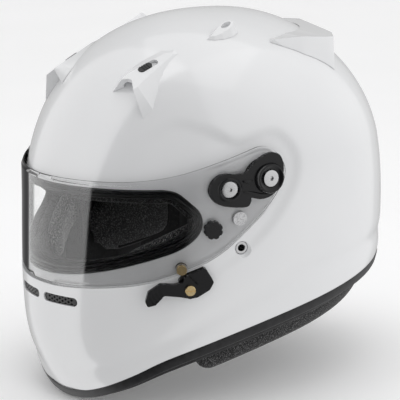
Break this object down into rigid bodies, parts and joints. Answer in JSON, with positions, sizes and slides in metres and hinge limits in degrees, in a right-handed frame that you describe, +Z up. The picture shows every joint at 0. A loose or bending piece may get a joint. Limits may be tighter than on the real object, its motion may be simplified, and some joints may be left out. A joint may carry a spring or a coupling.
{
  "type": "auto racing helmet",
  "caption": "Full-face auto racing helmet with a hinged clear visor, a side latch, sliding brow vents, padded liner and a two-ring chin strap.",
  "frame": {"origin": "on the upright axis of the head, under the crown, level with the lowest part of the chin edge", "axes": "+Z up, the face looks along -Y, +X is the wearer's left"},
  "size_m": [0.261, 0.303, 0.2781],
  "materials": {
    "shell_paint": "gloss white paint under clear coat",
    "visor_clear": "clear moulded polycarbonate",
    "black_rubber": "matt moulded rubber",
    "eps_foam": "fine beaded foam",
    "pad_fabric": "brushed knitted fabric over foam",
    "hinge_plastic": "satin moulded plastic",
    "disc_plastic": "light grey ribbed plastic",
    "screw_steel": "bright turned steel",
    "brass": "turned brass",
    "strap_webbing": "woven webbing"
  },
  "bodies": {
    "root": {"outer_shell": "shell_paint", "edge_trim": "black_rubber", "eyeport_gasket": "black_rubber", "eps_liner": "eps_foam", "chin_liner": "eps_foam", "crown_pad": "pad_fabric", "neck_roll": "pad_fabric", "latch_base": "hinge_plastic", "latch_screw": "brass", "rear_wing": "shell_paint", "chin_strap_left": "strap_webbing", "chin_strap_right": "strap_webbing", "cheek_pad_left": "pad_fabric", "cheek_pad_right": "pad_fabric", "hinge_base_left": "hinge_plastic", "hinge_base_right": "hinge_plastic", "pivot_screw_left": "screw_steel", "pivot_screw_right": "screw_steel", "anchor_insert_left": "screw_steel", "anchor_insert_right": "screw_steel", "brow_vent_left": "shell_paint", "brow_vent_right": "shell_paint", "top_vent_left": "shell_paint", "top_vent_right": "shell_paint", "chin_grille_left": "hinge_plastic", "chin_grille_right": "hinge_plastic", "strap_stud_left": "screw_steel", "strap_stud_right": "screw_steel"},
    "visor": {"visor": "visor_clear", "latch_post": "brass", "latch_collar": "visor_clear", "hinge_arm_left": "hinge_plastic", "hinge_arm_right": "hinge_plastic", "visor_screw_left": "screw_steel", "visor_screw_right": "screw_steel", "tearoff_post_left": "hinge_plastic", "tearoff_post_right": "hinge_plastic", "visor_disc_left": "disc_plastic", "visor_disc_right": "disc_plastic"},
    "latch_lever": {"latch_lever": "hinge_plastic"},
    "brow_slider_left": {"brow_slider_left": "hinge_plastic"},
    "brow_slider_right": {"brow_slider_right": "hinge_plastic"},
    "d_ring_1": {"d_ring_1": "screw_steel"},
    "d_ring_2": {"d_ring_2": "screw_steel"}
  },
  "joints": [
    {"name": "visor_hinge", "type": "hinge", "parent": "root", "child": "visor", "pos_m": [0, -0.043, 0.17], "axis": [-1, 0, 0], "range_deg": [0, 40]},
    {"name": "latch_turn", "type": "hinge", "parent": "root", "child": "latch_lever", "pos_m": [0.09554, -0.093, 0.095], "axis": [-0.8623, 0.5017, 0.0695], "range_deg": [0, 30]},
    {"name": "brow_slide_left", "type": "slide", "parent": "root", "child": "brow_slider_left", "axis": [0.1016, 0.9148, 0.3908], "range_m": [0, 0.005]},
    {"name": "brow_slide_right", "type": "slide", "parent": "root", "child": "brow_slider_right", "axis": [-0.1016, 0.9148, 0.3908], "range_m": [0, 0.005]},
    {"name": "d_ring_swing_1", "type": "hinge", "parent": "root", "child": "d_ring_1", "pos_m": [-0.0318, -0.022, 0.047], "axis": [0, -1, 0], "range_deg": [0, 60]},
    {"name": "d_ring_swing_2", "type": "hinge", "parent": "root", "child": "d_ring_2", "pos_m": [-0.0378, -0.022, 0.047], "axis": [0, 1, 0], "range_deg": [0, 60]}
  ]
}
